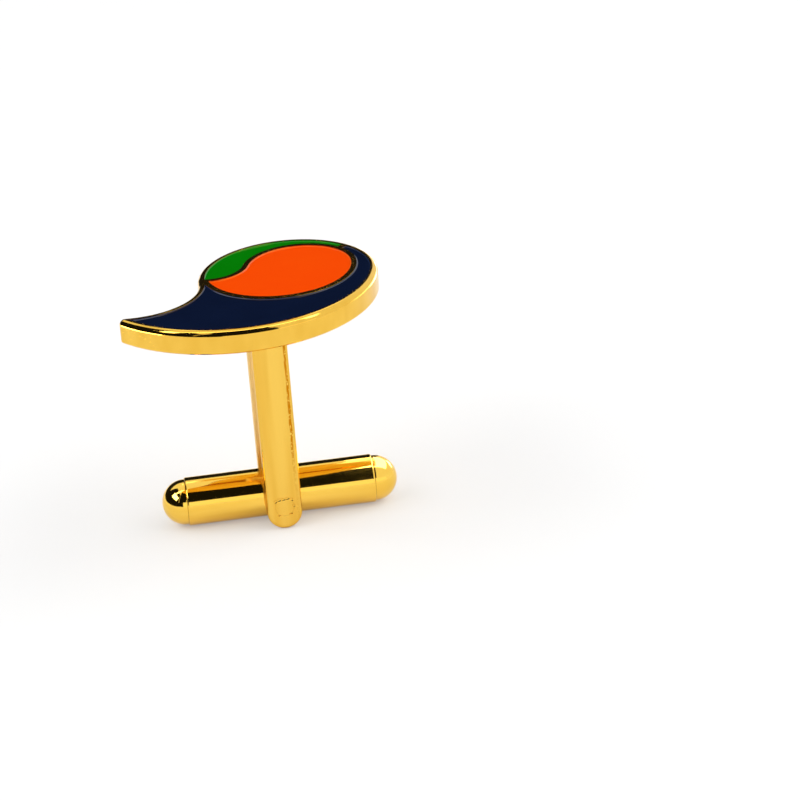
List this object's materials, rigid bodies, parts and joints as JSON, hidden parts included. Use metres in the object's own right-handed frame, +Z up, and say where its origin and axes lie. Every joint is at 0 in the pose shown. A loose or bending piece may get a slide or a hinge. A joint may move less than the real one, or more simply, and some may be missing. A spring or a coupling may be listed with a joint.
{
  "type": "bullet-back cufflink",
  "caption": "Gold-plated bullet-back cufflink: an enamelled drop-shaped face on a forked post, with a swivelling toggle bar that turns in line to pass a buttonhole.",
  "frame": {"origin": "on the post's axis, at its free end, level with the underside of the toggle bar on which the cufflink stands", "axes": "+X along the toggle bar in its cross position, +Y along the pivot pin away from the viewer, +Z up the post and out through the enamelled face"},
  "size_m": [0.022, 0.0186, 0.021],
  "materials": {
    "gold_plate": "polished gold plating on brass",
    "enamel_orange": "glossy enamel",
    "enamel_navy": "glossy enamel",
    "enamel_green": "glossy enamel",
    "spring_steel": "bright spring steel"
  },
  "bodies": {
    "post": {"face_plate": "gold_plate", "enamel_orange": "enamel_orange", "enamel_navy": "enamel_navy", "enamel_green": "enamel_green", "post_fork": "gold_plate", "foot_braze": "gold_plate", "pivot_pin": "gold_plate"},
    "toggle": {"toggle_barrel": "gold_plate", "toggle_cap_left": "gold_plate", "toggle_cap_right": "gold_plate", "friction_spring": "spring_steel"}
  },
  "joints": [
    {"name": "toggle_swivel", "type": "hinge", "parent": "post", "child": "toggle", "pos_m": [0, 0, 0.00205], "axis": [0, 1, 0], "range_deg": [-90, 90]}
  ]
}
